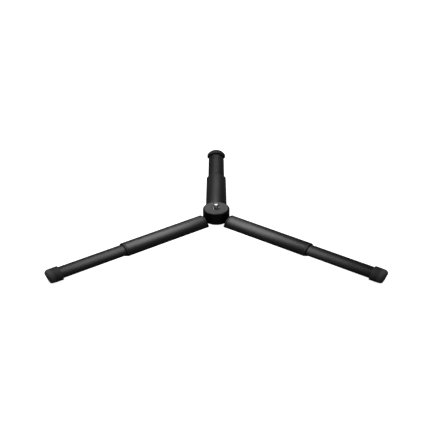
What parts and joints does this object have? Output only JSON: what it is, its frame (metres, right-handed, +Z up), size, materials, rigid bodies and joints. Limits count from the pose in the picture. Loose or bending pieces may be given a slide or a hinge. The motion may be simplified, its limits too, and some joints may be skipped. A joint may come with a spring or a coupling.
{
  "type": "tabletop tripod",
  "caption": "Folding tabletop tripod: a round hub with an upright threaded stud and telescopic legs of one-third-round section that close into a round handle.",
  "frame": {"origin": "centre of the flat end of the stud, on the hub's axis", "axes": "+Z up along the stud and the hub's axis; +Y towards the back leg; the left and right legs point to -X and +X, both 30 degrees towards -Y"},
  "size_m": [0.3786, 0.3309, 0.0412],
  "materials": {
    "hub_paint": "satin black coating on a turned hub",
    "pad_rubber": "fine-grained matt grey rubber",
    "foot_rubber": "moulded matt black rubber",
    "outer_anodised": "fine blasted, black anodised",
    "inner_anodised": "extruded, black anodised",
    "nylon": "moulded black nylon",
    "bright_steel": "bright nickel-plated steel"
  },
  "bodies": {
    "hub": {"hub_body": "hub_paint", "bottom_cover": "hub_paint", "top_pad": "pad_rubber", "stud": "bright_steel", "stud_washer": "bright_steel", "stud_nut": "bright_steel", "cover_screw_1": "bright_steel", "cover_screw_2": "bright_steel", "cover_screw_3": "bright_steel", "hinge_pin_back": "bright_steel", "hinge_pin_left": "bright_steel", "hinge_pin_right": "bright_steel"},
    "leg_back": {"knuckle_back": "hub_paint", "hinge_washer_back_1": "nylon", "hinge_washer_back_2": "nylon", "knuckle_screw_back": "bright_steel", "outer_tube_back": "outer_anodised", "collar_back": "nylon"},
    "slider_back": {"inner_tube_back": "inner_anodised", "inner_guide_back": "nylon", "foot_plug_back": "nylon", "foot_back": "foot_rubber"},
    "leg_left": {"knuckle_left": "hub_paint", "hinge_washer_left_1": "nylon", "hinge_washer_left_2": "nylon", "knuckle_screw_left": "bright_steel", "outer_tube_left": "outer_anodised", "collar_left": "nylon"},
    "slider_left": {"inner_tube_left": "inner_anodised", "inner_guide_left": "nylon", "foot_plug_left": "nylon", "foot_left": "foot_rubber"},
    "leg_right": {"knuckle_right": "hub_paint", "hinge_washer_right_1": "nylon", "hinge_washer_right_2": "nylon", "knuckle_screw_right": "bright_steel", "outer_tube_right": "outer_anodised", "collar_right": "nylon"},
    "slider_right": {"inner_tube_right": "inner_anodised", "inner_guide_right": "nylon", "foot_plug_right": "nylon", "foot_right": "foot_rubber"}
  },
  "joints": [
    {"name": "leg_back_fold", "type": "hinge", "parent": "hub", "child": "leg_back", "pos_m": [0, 0.0118, -0.01608], "axis": [-1, 0, 0], "range_deg": [0, 85.9]},
    {"name": "leg_back_slide", "type": "slide", "parent": "leg_back", "child": "slider_back", "axis": [0, 0.9974, -0.0715], "range_m": [-0.0765, 0]},
    {"name": "leg_left_fold", "type": "hinge", "parent": "hub", "child": "leg_left", "pos_m": [-0.01022, -0.0059, -0.01608], "axis": [0.5, -0.866, 0], "range_deg": [0, 85.9]},
    {"name": "leg_left_slide", "type": "slide", "parent": "leg_left", "child": "slider_left", "axis": [-0.8638, -0.4987, -0.0715], "range_m": [-0.0765, 0]},
    {"name": "leg_right_fold", "type": "hinge", "parent": "hub", "child": "leg_right", "pos_m": [0.01022, -0.0059, -0.01608], "axis": [0.5, 0.866, 0], "range_deg": [0, 85.9]},
    {"name": "leg_right_slide", "type": "slide", "parent": "leg_right", "child": "slider_right", "axis": [0.8638, -0.4987, -0.0715], "range_m": [-0.0765, 0]}
  ]
}
